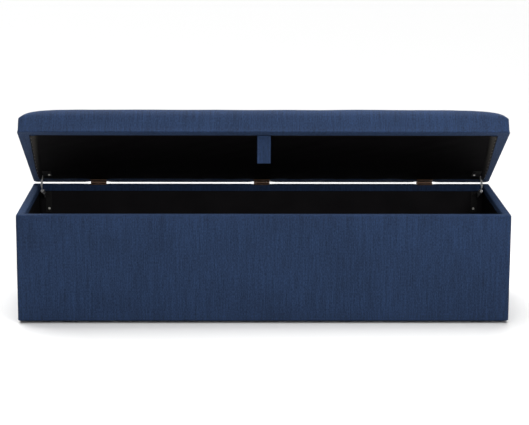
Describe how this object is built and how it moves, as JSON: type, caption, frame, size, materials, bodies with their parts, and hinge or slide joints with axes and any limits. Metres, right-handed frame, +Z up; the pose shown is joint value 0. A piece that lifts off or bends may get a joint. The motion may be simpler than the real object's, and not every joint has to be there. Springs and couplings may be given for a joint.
{
  "type": "storage bench",
  "caption": "Long fabric-covered storage box with a padded lid, lined well, rear butt hinges, folding side stays and a fabric pull tab.",
  "frame": {"origin": "on the floor, under the middle of the bench's box with the lid standing part open", "axes": "+X to the right when facing the front, -Y towards the front, +Z up"},
  "size_m": [1.5, 0.5468, 0.6431],
  "materials": {
    "blue_fabric": "matte",
    "black_lining": "matte",
    "board": "matte",
    "foam": "matte",
    "bronze_hinge": "satin",
    "stay_steel": "satin",
    "bright_screw": "polished",
    "black_plastic": "matte"
  },
  "bodies": {
    "box": {"front_panel": "board", "back_panel": "board", "left_panel": "board", "right_panel": "board", "base_board": "board", "base_cover": "blue_fabric", "lining_front": "black_lining", "lining_back": "black_lining", "lining_left": "black_lining", "lining_right": "black_lining", "lining_floor": "black_lining", "dust_cover": "black_lining", "glide_front_left": "black_plastic", "glide_front_right": "black_plastic", "glide_rear_left": "black_plastic", "glide_rear_right": "black_plastic", "hinge_left_box_leaf": "bronze_hinge", "hinge_left_pin": "bronze_hinge", "hinge_left_box_screw_1": "bronze_hinge", "hinge_left_box_screw_2": "bronze_hinge", "hinge_middle_box_leaf": "bronze_hinge", "hinge_middle_pin": "bronze_hinge", "hinge_middle_box_screw_1": "bronze_hinge", "hinge_middle_box_screw_2": "bronze_hinge", "hinge_right_box_leaf": "bronze_hinge", "hinge_right_pin": "bronze_hinge", "hinge_right_box_screw_1": "bronze_hinge", "hinge_right_box_screw_2": "bronze_hinge", "stay_left_box_bracket": "stay_steel", "stay_left_box_screw_1": "bright_screw", "stay_left_box_screw_2": "bright_screw", "stay_right_box_bracket": "stay_steel", "stay_right_box_screw_1": "bright_screw", "stay_right_box_screw_2": "bright_screw"},
    "lid": {"lid_board": "board", "lid_cover": "blue_fabric", "lid_foam": "foam", "lid_lining": "black_lining", "hinge_left_lid_leaf": "bronze_hinge", "hinge_left_lid_screw_1": "bronze_hinge", "hinge_left_lid_screw_2": "bronze_hinge", "hinge_middle_lid_leaf": "bronze_hinge", "hinge_middle_lid_screw_1": "bronze_hinge", "hinge_middle_lid_screw_2": "bronze_hinge", "hinge_right_lid_leaf": "bronze_hinge", "hinge_right_lid_screw_1": "bronze_hinge", "hinge_right_lid_screw_2": "bronze_hinge", "stay_left_lid_bracket": "stay_steel", "stay_left_lid_screw_1": "bright_screw", "stay_left_lid_screw_2": "bright_screw", "stay_right_lid_bracket": "stay_steel", "stay_right_lid_screw_1": "bright_screw", "stay_right_lid_screw_2": "bright_screw"},
    "left_lower_arm": {"stay_left_lower_arm": "stay_steel"},
    "right_lower_arm": {"stay_right_lower_arm": "stay_steel"},
    "left_upper_arm": {"stay_left_upper_arm": "stay_steel", "stay_left_elbow_rivet": "stay_steel"},
    "right_upper_arm": {"stay_right_upper_arm": "stay_steel", "stay_right_elbow_rivet": "stay_steel"},
    "pull_tab": {"pull_tab": "blue_fabric"}
  },
  "joints": [
    {"name": "lid_hinge", "type": "hinge", "parent": "box", "child": "lid", "pos_m": [0, 0.25007, 0.341], "axis": [-1, 0, 0], "range_deg": [-27.75, 52.75]},
    {"name": "left_lower_arm_pivot", "type": "hinge", "parent": "box", "child": "left_lower_arm", "pos_m": [-0.71, 0.21607, 0.303], "axis": [-1, 0, 0], "range_deg": [-28, 53]},
    {"name": "left_upper_arm_pivot", "type": "hinge", "parent": "lid", "child": "left_upper_arm", "pos_m": [-0.7123, 0.17798, 0.37138], "axis": [-1, 0, 0], "range_deg": [-53, 28]},
    {"name": "right_lower_arm_pivot", "type": "hinge", "parent": "box", "child": "right_lower_arm", "pos_m": [0.71, 0.21607, 0.303], "axis": [-1, 0, 0], "range_deg": [-28, 53]},
    {"name": "right_upper_arm_pivot", "type": "hinge", "parent": "lid", "child": "right_upper_arm", "pos_m": [0.7123, 0.17798, 0.37138], "axis": [-1, 0, 0], "range_deg": [-53, 28]},
    {"name": "pull_tab_swing", "type": "hinge", "parent": "lid", "child": "pull_tab", "pos_m": [0, -0.18635, 0.56599], "axis": [-1, 0, 0], "range_deg": [-58, 29]}
  ],
  "couplings": [
    {"joint": "left_lower_arm_pivot", "follows": "lid_hinge", "ratio": 1},
    {"joint": "left_upper_arm_pivot", "follows": "lid_hinge", "ratio": -1},
    {"joint": "right_lower_arm_pivot", "follows": "lid_hinge", "ratio": 1},
    {"joint": "right_upper_arm_pivot", "follows": "lid_hinge", "ratio": -1}
  ]
}
